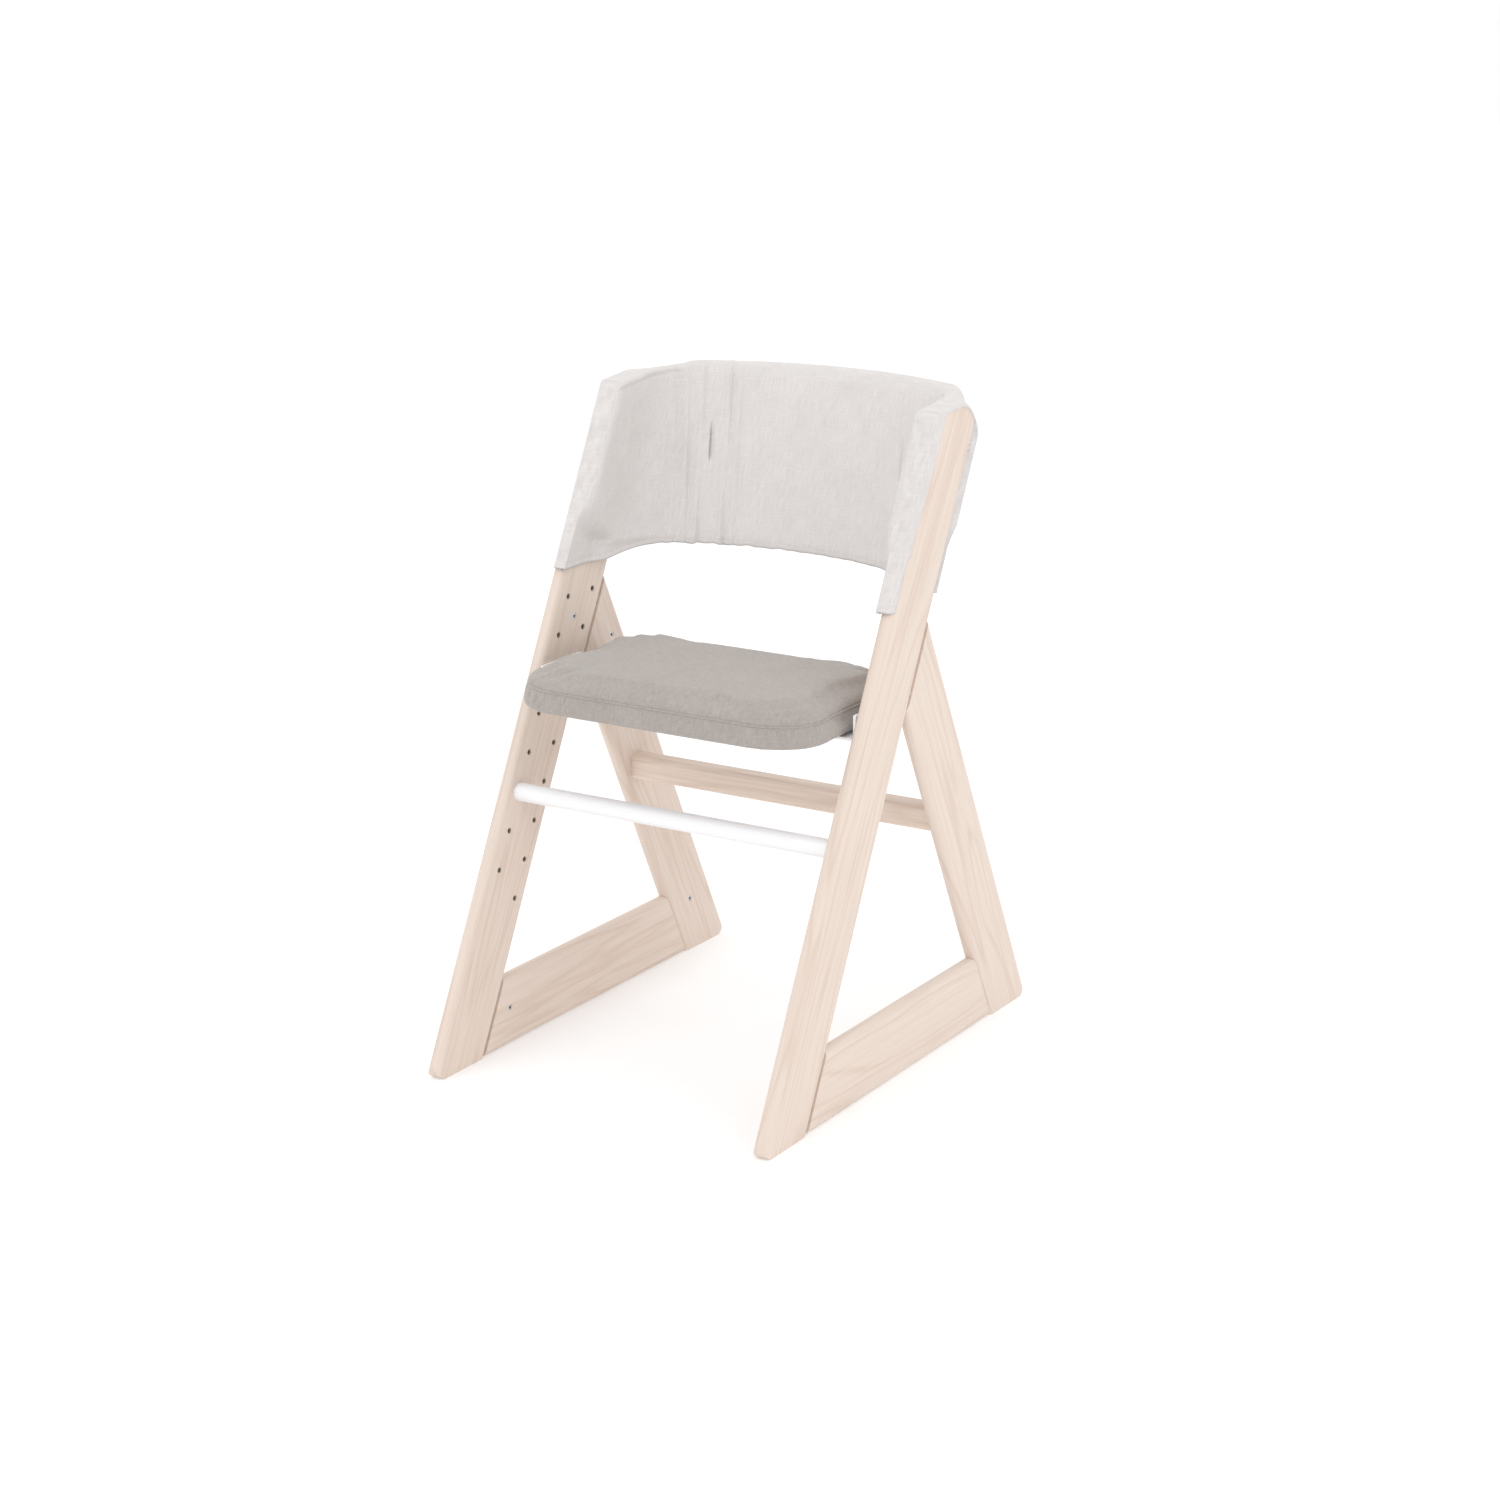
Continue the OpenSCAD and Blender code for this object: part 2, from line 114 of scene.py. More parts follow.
def math_node(tree, kind, a, b=None):
    node = tree.nodes.new("ShaderNodeMath")
    node.operation = kind
    for socket, value in zip(node.inputs, (a, b)):
        if value is None:
            continue
        if isinstance(value, (int, float)):
            socket.default_value = value
        else:
            tree.links.new(value, socket)
    return node.outputs[0]


def ramp(tree, factor, *stops):
    node = tree.nodes.new("ShaderNodeValToRGB")
    elements = node.color_ramp.elements
    while len(elements) < len(stops):
        elements.new(0.5)
    for element, (position, colour) in zip(elements, stops):
        element.position = position
        element.color = colour
    tree.links.new(factor, node.inputs["Fac"])
    return node.outputs["Color"]


def mix_colour(tree, factor, a, b, kind="MIX"):
    node = tree.nodes.new("ShaderNodeMix")
    node.data_type = "RGBA"
    node.blend_type = kind
    sockets = (node.inputs[0], node.inputs[6], node.inputs[7])
    for socket, value in zip(sockets, (factor, a, b)):
        if isinstance(value, (int, float, tuple)):
            socket.default_value = value
        else:
            tree.links.new(value, socket)
    return node.outputs[2]


def bump(tree, shader, height, strength, distance):
    node = tree.nodes.new("ShaderNodeBump")
    node.inputs["Strength"].default_value = strength
    node.inputs["Distance"].default_value = distance
    tree.links.new(height, node.inputs["Height"])
    tree.links.new(node.outputs["Normal"], shader.inputs["Normal"])


# ---- finishes ----
def whitewashed_wood(name, turn, light, dark):
    """Pale limed wood whose grain runs along the piece's own length."""
    material, tree, shader = new_material(name)
    fibres = noise_at(tree, object_grid(tree, turn, (260, 260, 9)), 1.0, 5.0, 0.65)
    drift = noise_at(tree, object_grid(tree, turn, (16, 16, 1.3)), 1.0, 2.0, 0.5, 0.4)
    rings = math_node(tree, "PINGPONG", math_node(tree, "MULTIPLY", drift, 9.0), 0.5)
    limed = ramp(tree, fibres, (0.3, linear(*dark)), (0.62, linear(*light)))
    figure = ramp(tree, rings, (0.0, (0.93, 0.90, 0.87, 1)), (0.22, (1, 1, 1, 1)))
    tree.links.new(mix_colour(tree, 1.0, limed, figure, "MULTIPLY"), shader.inputs["Base Color"])
    shader.inputs["Roughness"].default_value = 0.55
    bump(tree, shader, fibres, 0.12, 0.0006)
    return material


def painted_steel():
    material, tree, shader = new_material("white_powder_coat")
    speckle = noise_at(tree, object_grid(tree), 900.0, 2.0)
    colour = ramp(tree, speckle, (0.3, linear(238, 238, 240)), (0.7, linear(246, 246, 248)))
    tree.links.new(colour, shader.inputs["Base Color"])
    shader.inputs["Roughness"].default_value = 0.32
    bump(tree, shader, speckle, 0.03, 0.0002)
    return material


def metal(name, colour, roughness):
    material, tree, shader = new_material(name)
    wear = noise_at(tree, object_grid(tree), 400.0, 3.0)
    darker = tuple(c * 0.8 for c in colour[:3]) + (1.0,)
    tree.links.new(ramp(tree, wear, (0.3, darker), (0.7, colour)), shader.inputs["Base Color"])
    shader.inputs["Metallic"].default_value = 0.9
    shader.inputs["Roughness"].default_value = roughness
    return material


def speckled(name, light, dark, scale, roughness=0.7):
    material, tree, shader = new_material(name)
    grain = noise_at(tree, object_grid(tree), scale, 4.0)
    colour = ramp(tree, grain, (0.3, linear(*dark)), (0.7, linear(*light)))
    tree.links.new(colour, shader.inputs["Base Color"])
    shader.inputs["Roughness"].default_value = roughness
    return material


def woven_cloth(name, light, dark, threads, slub, cast, sheen):
    """A plain weave: threads per metre across and along, with slubs that run up the cloth."""
    material, tree, shader = new_material(name)
    warp = noise_at(tree, cloth_grid(tree, (threads, threads * slub, 1)), 1.0, 3.0, 0.6)
    weft = noise_at(tree, cloth_grid(tree, (threads * slub, threads, 1)), 1.0, 3.0, 0.6)
    mottle = noise_at(tree, cloth_grid(tree, (24, 14, 1)), 1.0, 3.0, 0.55)
    more_warp = math_node(tree, "MULTIPLY", warp, 0.62)
    less_weft = math_node(tree, "MULTIPLY", weft, 0.38)
    yarns = math_node(tree, "ADD", more_warp, less_weft)
    colour = ramp(tree, yarns, (0.36, linear(*dark)), (0.64, linear(*light)))
    shade = ramp(tree, mottle, (0.3, cast), (0.7, (1, 1, 1, 1)))
    tree.links.new(mix_colour(tree, 1.0, colour, shade, "MULTIPLY"), shader.inputs["Base Color"])
    shader.inputs["Roughness"].default_value = 0.9
    shader.inputs["Sheen Weight"].default_value = sheen
    shader.inputs["Sheen Roughness"].default_value = 0.6
    shader.inputs["Specular IOR Level"].default_value = 0.2
    bump(tree, shader, yarns, 0.35, 0.0008)
    return material


WOOD_LIGHT, WOOD_DARK = (225, 210, 198), (218, 201, 188)
ALONG_LEG = (LEAN, 0, 0)
ALONG_STRUT = (-LEAN, 0, 0)
ALONG_RAIL = (math.pi / 2, 0, 0)
ALONG_BAR = (0, math.pi / 2, 0)
leg_wood = whitewashed_wood("whitewashed_leg", ALONG_LEG, WOOD_LIGHT, WOOD_DARK)
strut_wood = whitewashed_wood("whitewashed_strut", ALONG_STRUT, WOOD_LIGHT, WOOD_DARK)
rail_wood = whitewashed_wood("whitewashed_rail", ALONG_RAIL, WOOD_LIGHT, WOOD_DARK)
bar_wood = whitewashed_wood("whitewashed_crossbar", ALONG_BAR, (232, 216, 203), (219, 200, 186))
white_coat = painted_steel()
zinc = metal("zinc_plate", (0.62, 0.63, 0.65, 1), 0.35)
insert_steel = metal("dull_insert", (0.62, 0.56, 0.50, 1), 0.6)
dowel_wood = speckled("beech_dowel", (214, 184, 146), (196, 164, 126), 300.0)
ply_wood = speckled("birch_ply", (224, 198, 160), (206, 176, 136), 120.0)
foam = speckled("pale_foam", (236, 228, 190), (220, 210, 170), 800.0, 0.95)
taupe_cloth = woven_cloth(
    "taupe_weave", (178, 171, 166), (155, 147, 142), 900.0, 0.10, (0.94, 0.93, 0.92, 1), 0.25
)
linen_cloth = woven_cloth(
    "pale_linen", (224, 220, 218), (208, 203, 201), 900.0, 0.05, (0.95, 0.95, 0.95, 1), 0.2
)
linen_thread = speckled("linen_thread", (214, 208, 204), (196, 190, 186), 500.0, 0.9)


# ---- mesh helpers ----
def new_piece(name, mesh):
    piece = bpy.data.objects.new(name, mesh)
    bpy.context.scene.collection.objects.link(piece)
    return piece


def finish_piece(piece, slot, material, *nodes):
    piece.data.materials.clear()
    piece.data.materials.append(material)
    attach(piece, "root")
    if nodes:
        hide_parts(*nodes)


def select_only(piece):
    for other in bpy.context.selected_objects:
        other.select_set(False)
    piece.select_set(True)
    bpy.context.view_layer.objects.active = piece


def merged_copy(node, name):
    """A joined-up copy of a CAD node, smooth across its roundings and sharp at its corners."""
    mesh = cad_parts[node].data.copy()
    if "custom_normal" in mesh.attributes:
        mesh.attributes.remove(mesh.attributes["custom_normal"])
    knit = bmesh.new()
    knit.from_mesh(mesh)
    bmesh.ops.remove_doubles(knit, verts=knit.verts, dist=0.01 * MM)
    knit.to_mesh(mesh)
    knit.free()
    mesh.shade_smooth()
    mesh.set_sharp_from_angle(angle=math.radians(32))
    return new_piece(name, mesh)


def sheet_mesh(name, rings, wrap, uv=None):
    """A mesh from a numpy array of points, ring by ring, with each ring closed if wrap is true."""
    count, size = rings.shape[:2]
    last = size if wrap else size - 1
    faces = []
    for i in range(count - 1):
        for j in range(last):
            k = (j + 1) % size
            faces.append((i * size + j, i * size + k, (i + 1) * size + k, (i + 1) * size + j))
    mesh = bpy.data.meshes.new(name)
    mesh.from_pydata(rings.reshape(-1, 3).tolist(), [], faces)
    if uv is not None:
        layer = mesh.uv_layers.new(name="cloth")
        flat = uv.reshape(-1, 2)
        corner_vertex = np.empty(len(mesh.loops), np.int32)
        mesh.loops.foreach_get("vertex_index", corner_vertex)
        layer.data.foreach_set("uv", flat[corner_vertex].astype(np.float32).ravel())
    return mesh


def seal(mesh, distance=0.05 * MM):
    """Joins doubled points and turns every face outwards."""
    knit = bmesh.new()
    knit.from_mesh(mesh)
    bmesh.ops.remove_doubles(knit, verts=knit.verts, dist=distance)
    bmesh.ops.dissolve_degenerate(knit, edges=knit.edges, dist=distance / 5)
    bmesh.ops.recalc_face_normals(knit, faces=knit.faces)
    knit.to_mesh(mesh)
    knit.free()


# ---- Geometry Nodes that follow a seam ----
def start_tree(name, *sizes):
    tree = bpy.data.node_groups.new(name, "GeometryNodeTree")
    tree.interface.new_socket(name="Geometry", in_out="INPUT", socket_type="NodeSocketGeometry")
    for size in sizes:
        tree.interface.new_socket(name=size, in_out="INPUT", socket_type="NodeSocketFloat")
    tree.interface.new_socket(name="Finish", in_out="INPUT", socket_type="NodeSocketMaterial")
    tree.interface.new_socket(name="Geometry", in_out="OUTPUT", socket_type="NodeSocketGeometry")
    return tree, tree.nodes.new("NodeGroupInput"), tree.nodes.new("NodeGroupOutput")


def end_tree(tree, given, out, geometry):
    """Every tree ends in smooth, realized geometry with its finish on it."""
    smooth = tree.nodes.new("GeometryNodeSetShadeSmooth")
    realize = tree.nodes.new("GeometryNodeRealizeInstances")
    finish = tree.nodes.new("GeometryNodeSetMaterial")
    tree.links.new(geometry, smooth.inputs["Geometry"])
    tree.links.new(smooth.outputs["Geometry"], realize.inputs["Geometry"])
    tree.links.new(realize.outputs["Geometry"], finish.inputs["Geometry"])
    tree.links.new(given.outputs["Finish"], finish.inputs["Material"])
    tree.links.new(finish.outputs["Geometry"], out.inputs["Geometry"])


def welt_cord_tree():
    """A round cord along a seam."""
    tree, given, out = start_tree("welt_cord", "Cord radius")
    path = tree.nodes.new("GeometryNodeMeshToCurve")
    section = tree.nodes.new("GeometryNodeCurvePrimitiveCircle")
    section.inputs["Resolution"].default_value = 8
    cord = tree.nodes.new("GeometryNodeCurveToMesh")
    tree.links.new(given.outputs["Geometry"], path.inputs["Mesh"])
    tree.links.new(given.outputs["Cord radius"], section.inputs["Radius"])
    tree.links.new(path.outputs["Curve"], cord.inputs["Curve"])
    tree.links.new(section.outputs["Curve"], cord.inputs["Profile Curve"])
    end_tree(tree, given, out, cord.outputs["Mesh"])
    return tree


def stitch_row_tree():
    """A row of short thread loops along a seam."""
    tree, given, out = start_tree("row_of_stitches", "Stitch pitch", "Stitch length", "Thread radius")
    path = tree.nodes.new("GeometryNodeMeshToCurve")
    spots = tree.nodes.new("GeometryNodeCurveToPoints")
    spots.mode = "LENGTH"
    loop = tree.nodes.new("GeometryNodeMeshIcoSphere")
    loop.inputs["Radius"].default_value = 1.0
    loop.inputs["Subdivisions"].default_value = 1
    half = tree.nodes.new("ShaderNodeMath")
    half.operation = "MULTIPLY"
    half.inputs[1].default_value = 0.5
    size = tree.nodes.new("ShaderNodeCombineXYZ")
    place = tree.nodes.new("GeometryNodeInstanceOnPoints")
    tree.links.new(given.outputs["Geometry"], path.inputs["Mesh"])
    tree.links.new(path.outputs["Curve"], spots.inputs["Curve"])
    tree.links.new(given.outputs["Stitch pitch"], spots.inputs["Length"])
    tree.links.new(given.outputs["Stitch length"], half.inputs[0])
    tree.links.new(given.outputs["Thread radius"], size.inputs["X"])
    tree.links.new(given.outputs["Thread radius"], size.inputs["Y"])
    tree.links.new(half.outputs[0], size.inputs["Z"])
    tree.links.new(spots.outputs["Points"], place.inputs["Points"])
    tree.links.new(spots.outputs["Rotation"], place.inputs["Rotation"])
    tree.links.new(loop.outputs["Mesh"], place.inputs["Instance"])
    tree.links.new(size.outputs["Vector"], place.inputs["Scale"])
    end_tree(tree, given, out, place.outputs["Instances"])
    return tree


def along_seam(name, tree, points, closed, finish, **sizes):
    """The plain mesh that a tree makes along a seam given by its points."""
    edges = [(i, i + 1) for i in range(len(points) - 1)]
    if closed:
        edges.append((len(points) - 1, 0))
    seam = bpy.data.meshes.new(name)
    seam.from_pydata([tuple(p) for p in points], edges, [])
    guide = new_piece(name + "_guide", seam)
    modifier = guide.modifiers.new("along", "NODES")
    modifier.node_group = tree
    for item in tree.interface.items_tree:
        if item.in_out == "INPUT" and item.name == "Finish":
            modifier[item.identifier] = finish
        if item.in_out == "INPUT" and item.name.replace(" ", "_").lower() in sizes:
            modifier[item.identifier] = float(sizes[item.name.replace(" ", "_").lower()])
    bpy.context.view_layer.update()
    shown = guide.evaluated_get(bpy.context.evaluated_depsgraph_get())
    mesh = bpy.data.meshes.new_from_object(shown)
    bpy.data.objects.remove(guide)
    return new_piece(name, mesh)


welt_cord = welt_cord_tree()
stitch_row = stitch_row_tree()

# ---- side frames, crossbar and footrest ----
MEMBERS = [
    ("front_leg", "leg", leg_wood),
    ("rear_strut", "strut", strut_wood),
    ("floor_rail", "rail", rail_wood),
]
for side in ("left", "right"):
    for part, short_name, wood in MEMBERS:
        node = side + "_" + part
        finish_piece(merged_copy(node, side + "_" + short_name), "whitewashed_wood", wood, node)
finish_piece(merged_copy("rear_crossbar", "crossbar"), "whitewashed_wood", bar_wood, "rear_crossbar")
finish_piece(merged_copy("footrest_tube", "footrest_bar"), "white_paint", white_coat, "footrest_tube")

# ---- seat cushion ----
SEAT_FRONT_R = 78 * MM
SEAT_BACK_R = 60 * MM
SEAM_Z = seat_low.z + 27 * MM
SHOULDER_Z = seat_high.z - 1 * MM
SWELL_CAP = 7 * MM
SWELL_PRESSURE = 4.0
SWELL_FRAMES = 20
CUSHION_VOXEL = 5 * MM
SEAM_PULL = 2.0 * MM
HEM_PULL = 1.2 * MM
BOXING_RIPPLE = 0.9 * MM
TOP_DIMPLE = 0.8 * MM
FRONT_SPREAD = 8 * MM


def seat_outline(inset, step=4 * MM):
    """The seat's outline seen from above, anticlockwise, as evenly spaced points."""
    half = seat_high.x - inset
    front, back = seat_low.y + inset, seat_high.y - inset
    corners = [
        (half - SEAT_FRONT_R + inset, front + SEAT_FRONT_R - inset, SEAT_FRONT_R - inset, -90),
        (half - SEAT_BACK_R + inset, back - SEAT_BACK_R + inset, SEAT_BACK_R - inset, 0),
        (-half + SEAT_BACK_R - inset, back - SEAT_BACK_R + inset, SEAT_BACK_R - inset, 90),
        (-half + SEAT_FRONT_R - inset, front + SEAT_FRONT_R - inset, SEAT_FRONT_R - inset, 180),
    ]
    turns = 24
    dense = []
    for x, y, radius, start in corners:
        for k in range(turns + 1):
            angle = math.radians(start + 90 * k / turns)
            dense.append((x + radius * math.cos(angle), y + radius * math.sin(angle)))
    dense.append(dense[0])
    return even_path(dense, step)[:-1]


def even_path(points, step=None, count=None):
    """The same path with points evenly spaced along it."""
    points = np.asarray(points, float)
    gaps = np.linalg.norm(np.diff(points, axis=0), axis=1)
    reach = np.concatenate([[0], np.cumsum(gaps)])
    count = count or max(2, round(reach[-1] / step) + 1)
    wanted = np.linspace(0, reach[-1], count)
    return np.stack([np.interp(wanted, reach, points[:, k]) for k in range(points.shape[1])], 1)


def spread_front(spots):
    """The part in front of the legs, where nothing holds the pad in, spreads a little."""
    ahead = smooth_step((-100 * MM - spots[:, 1]) / (60 * MM))
    spots = spots.copy()
    spots[:, 0] += FRONT_SPREAD * ahead * spots[:, 0] / seat_high.x
    spots[:, 1] -= 0.7 * FRONT_SPREAD * ahead
    return spots


def cushion_blank():
    """The pad before it swells: a slab on the board with its upper edge rolled in."""
    levels = [(14, 1), (4, 1), (2, 3), (1, 8), (1, 20), (1.5, 28), (3, 34), (7, 39), (14, 42), (30, 43.5)]
    outline = [seat_outline(inset * MM) for inset, _ in levels]
    size = min(len(o) for o in outline)
    rings = []
    for (inset, height), path in zip(levels, outline):
        closed = np.vstack([path, path[:1]])
        ring = even_path(closed, count=size + 1)[:-1]
        rings.append(np.column_stack([ring, np.full(size, seat_low.z + height * MM)]))
    mesh = sheet_mesh("cushion", np.array(rings), True)
    knit = bmesh.new()
    knit.from_mesh(mesh)
    knit.verts.ensure_lookup_table()
    last = (len(levels) - 1) * size
    knit.faces.new([knit.verts[i] for i in range(size)])
    knit.faces.new([knit.verts[last + i] for i in range(size)])
    bmesh.ops.recalc_face_normals(knit, faces=knit.faces)
    knit.to_mesh(mesh)
    knit.free()
    piece = new_piece("seat_cushion", mesh)
    select_only(piece)
    piece.data.remesh_voxel_size = CUSHION_VOXEL
    bpy.ops.object.voxel_remesh()
    return piece


def points_of(mesh):
    co = np.empty(len(mesh.vertices) * 3)
    mesh.vertices.foreach_get("co", co)
    return co.reshape(-1, 3)


def set_points(mesh, co):
    mesh.vertices.foreach_set("co", co.ravel())
    mesh.update()


def swell(piece, cap, floor_z):
    """The stuffing pushes the cover out by no more than a cap, and the underside stays on its board."""
    start = points_of(piece.data)
    held = piece.vertex_groups.new(name="on_board")
    held.add([int(i) for i in np.nonzero(start[:, 2] < floor_z + 4 * MM)[0]], 1.0, "REPLACE")
    cloth = piece.modifiers.new("swell", "CLOTH")
    settings = cloth.settings
    settings.quality = 5
    settings.mass = 0.3
    settings.use_pressure = True
    settings.uniform_pressure_force = SWELL_PRESSURE
    settings.effector_weights.gravity = 0.0
    settings.vertex_group_mass = "on_board"
    settings.tension_stiffness = 12.0
    settings.bending_stiffness = 0.6
    cloth.collision_settings.use_collision = False
    scene = bpy.context.scene
    for step in range(1, SWELL_FRAMES + 1):
        scene.frame_set(step)
    shown = piece.evaluated_get(bpy.context.evaluated_depsgraph_get())
    swollen = points_of(shown.to_mesh())
    shown.to_mesh_clear()
    piece.modifiers.remove(cloth)
    piece.vertex_groups.clear()
    scene.frame_set(1)
    move = swollen - start
    length = np.linalg.norm(move, axis=1, keepdims=True)
    move *= np.minimum(1.0, cap / np.maximum(length, 1e-9))
    set_points(piece.data, start + move)


def round_off(piece):
    """One subdivision, made part of the mesh."""
    modifier = piece.modifiers.new("round", "SUBSURF")
    modifier.levels = 1
    modifier.render_levels = 1
    select_only(piece)
    bpy.ops.object.modifier_apply(modifier=modifier.name)


def nearest_on_outline(co, outline):
    """For each point: distance inside the outline, how far round it is, and the way out."""
    loop = np.vstack([outline, outline[:1]])
    step = np.linalg.norm(np.diff(loop, axis=0), axis=1)
    reach = np.concatenate([[0], np.cumsum(step)])[:-1]
    depth = np.empty(len(co))
    around = np.empty(len(co))
    way = np.empty((len(co), 2))
    tangent = np.roll(outline, -1, 0) - np.roll(outline, 1, 0)
    tangent /= np.linalg.norm(tangent, axis=1, keepdims=True)
    outward = np.column_stack([tangent[:, 1], -tangent[:, 0]])
    for first in range(0, len(co), 4000):
        part = co[first:first + 4000, :2]
        gap = part[:, None, :] - outline[None, :, :]
        near = np.argmin((gap ** 2).sum(2), axis=1)
        rows = np.arange(len(part))
        way[first:first + 4000] = outward[near]
        depth[first:first + 4000] = -(gap[rows, near] * outward[near]).sum(1)
        along = (gap[rows, near] * tangent[near]).sum(1)
        around[first:first + 4000] = reach[near] + along
    return depth, around, way


# folds of the boxing strip: how far along the front from the middle, depth, and width
BOXING_TUCKS = [
    (-176, 1.3, 3.0), (-160, 0.9, 2.2), (-112, 1.2, 3.2), (-104, 0.6, 2.0), (-68, 0.9, 2.6),
    (-48, 0.7, 2.4), (-30, 0.6, 2.0), (-8, 0.6, 2.4), (2, 0.8, 2.0), (34, 1.6, 1.6),
    (66, 0.6, 2.6), (104, 0.7, 3.0), (140, 0.8, 3.0), (168, 0.9, 3.4),
]


def tailor_cushion(piece):
    """Draws the seam in, tucks the boxing strip and lays out the cloth."""
    co = points_of(piece.data)
    outline = seat_outline(0, 2 * MM)
    depth, around, way = nearest_on_outline(co, outline)
    z = co[:, 2]
    at_side = smooth_step((16 * MM - depth) / (12 * MM))
    seam = np.exp(-(((z - SEAM_Z) / (2.4 * MM)) ** 2))
    pull = SEAM_PULL * seam
    boxing = smooth_step((SEAM_Z - z) / (4 * MM)) * smooth_step((z - seat_low.z) / (3 * MM))
    front_middle = around_of_front(outline)
    for place, deep, wide in BOXING_TUCKS:
        pull += deep * MM * boxing * np.exp(-(((around - front_middle - place * MM) / (wide * MM)) ** 2))
    ripple = np.array([noise.noise(Vector((a * 46, h * 30, 3.1))) for a, h in zip(around, z)])
    pull += BOXING_RIPPLE * ripple * boxing
    hem = np.exp(-(((z - seat_low.z) / (3 * MM)) ** 2))
    pull += HEM_PULL * hem
    co[:, :2] -= way * (pull * at_side)[:, None]
    top = smooth_step((z - SHOULDER_Z + 6 * MM) / (6 * MM)) * (1 - at_side)
    dimple = np.array([noise.noise(Vector((x * 14, y * 14, 7.7))) for x, y in co[:, :2]])
    co[:, 2] += TOP_DIMPLE * dimple * top
    co[:, 2] = np.maximum(co[:, 2], seat_low.z)
    co[:, :2] = spread_front(co[:, :2])
    set_points(piece.data, co)
    lay_out(piece.data, around, z)
    piece.data.shade_smooth()


def around_of_front(outline):
    """How far round the outline the middle of the front edge is."""
    step = np.linalg.norm(np.diff(outline, axis=0), axis=1)
    reach = np.concatenate([[0], np.cumsum(step)])
    front = [i for i in range(len(outline)) if outline[i][1] < seat_low.y + 1 * MM]
    middle = min(front, key=lambda i: abs(outline[i][0]))
    return reach[middle]


def lay_out(mesh, around, z):
    """The cloth's layout: across and along on the flat faces, round and up on the boxing."""
    layer = mesh.uv_layers.new(name="cloth")
    normals = np.empty(len(mesh.polygons) * 3)
    mesh.polygons.foreach_get("normal", normals)
    flat = np.abs(normals.reshape(-1, 3)[:, 2]) > 0.6
    co = points_of(mesh)
    corner_vertex = np.empty(len(mesh.loops), np.int32)
    mesh.loops.foreach_get("vertex_index", corner_vertex)
    sizes = np.empty(len(mesh.polygons), np.int32)
    mesh.polygons.foreach_get("loop_total", sizes)
    corner_flat = np.repeat(flat, sizes)
    on_top = co[corner_vertex][:, :2]
    on_side = np.column_stack([around[corner_vertex], z[corner_vertex]])
    uv = np.where(corner_flat[:, None], on_top, on_side)
    layer.data.foreach_set("uv", uv.astype(np.float32).ravel())


def shrunk_copy(node, name, margin):
    """A hidden layer drawn in a little all round, so that the cover never touches it."""
    piece = merged_copy(node, name)
    co = points_of(piece.data)
    middle = (co.min(0) + co.max(0)) / 2
    half = (co.max(0) - co.min(0)) / 2
    set_points(piece.data, middle + (co - middle) * (half - margin) / half)
    return piece


FOAM_MARGIN = np.array([24, 24, 9]) * MM
BOARD_MARGIN = np.array([8, 8, 1]) * MM
finish_piece(shrunk_copy("seat_foam", "foam_core", FOAM_MARGIN), "foam", foam, "seat_foam")
finish_piece(shrunk_copy("seat_board", "seat_base", BOARD_MARGIN), "plywood", ply_wood, "seat_board")
cushion = cushion_blank()
swell(cushion, SWELL_CAP, seat_low.z)
round_off(cushion)
tailor_cushion(cushion)
finish_piece(cushion, "taupe_fabric", taupe_cloth, "seat_cushion_cover")


def on_boxing(piece, spot):
    """Where the seam runs on the boxing, straight in from a spot outside it."""
    outside = Vector((spot[0] * 1.3, spot[1] * 1.3, SEAM_Z))
    inward = Vector((spot[0], spot[1], SEAM_Z)) - outside
    hit, place, _, _ = piece.ray_cast(outside, inward.normalized())
    return tuple(place) if hit else (spot[0], spot[1], SEAM_Z)


bpy.context.view_layer.update()
cord_path = [on_boxing(cushion, spot) for spot in seat_outline(0, 5 * MM)]
seat_welt = along_seam("seat_welt", welt_cord, cord_path, True, taupe_cloth, cord_radius=1.5 * MM)
welt_layout = seat_welt.data.uv_layers.new(name="cloth")
for corner in seat_welt.data.loops:
    spot = seat_welt.data.vertices[corner.vertex_index].co
    welt_layout.data[corner.index].uv = (spot.x + spot.y, spot.z + spot.x)
finish_piece(seat_welt, "taupe_fabric", taupe_cloth)

# ---- backrest sleeve ----
PLY = 12 * MM
COVER = 5 * MM
BOW_R = 446 * MM
BEND_R = 80 * MM
BACK_DEPTH = 155 * MM
BEND_X = INNER_FACE - BEND_R
BOW_U = BACK_DEPTH - BOW_R
BEND_U = BOW_U + math.sqrt((BOW_R - BEND_R) ** 2 - BEND_X ** 2)
WING_X = INNER_FACE - PLY - COVER
HUG_X = INNER_FACE - 3 * MM
WING_CORNER = 60 * MM
LEG_CORNER_Z = 803 * MM
TOP_RISE = math.radians(5.7)
RIM_RISE = 5.5 * MM
RIM_Z = LEG_CORNER_Z + RIM_RISE
HEM_WING_Z = 579 * MM
HEM_BACK_Z = 596 * MM
HEM_GATHER = 1.0 * MM
INNER_SLACK = 1.1 * MM
OUTER_SLACK = 1.4 * MM
CORNER_PUFF = 10.5 * MM
STUFFED_LOW, STUFFED_HIGH = 632 * MM, 786 * MM
HIDDEN_DEPTH = 8 * MM
SHELL_Z = shell_low.z
NOSE = (INNER_FACE + 1 * MM, -4.5 * MM)


def arc(x, u, radius, start, end, count=24):
    """Points on an arc seen along the legs, by angles in degrees from straight back."""
    angles = [math.radians(start + (end - start) * k / count) for k in range(count + 1)]
    return [(x + radius * math.sin(a), u + radius * math.cos(a)) for a in angles]


def joined(paths):
    """One path from several that share their end points."""
    return np.vstack([paths[0]] + [path[1:] for path in paths[1:]])


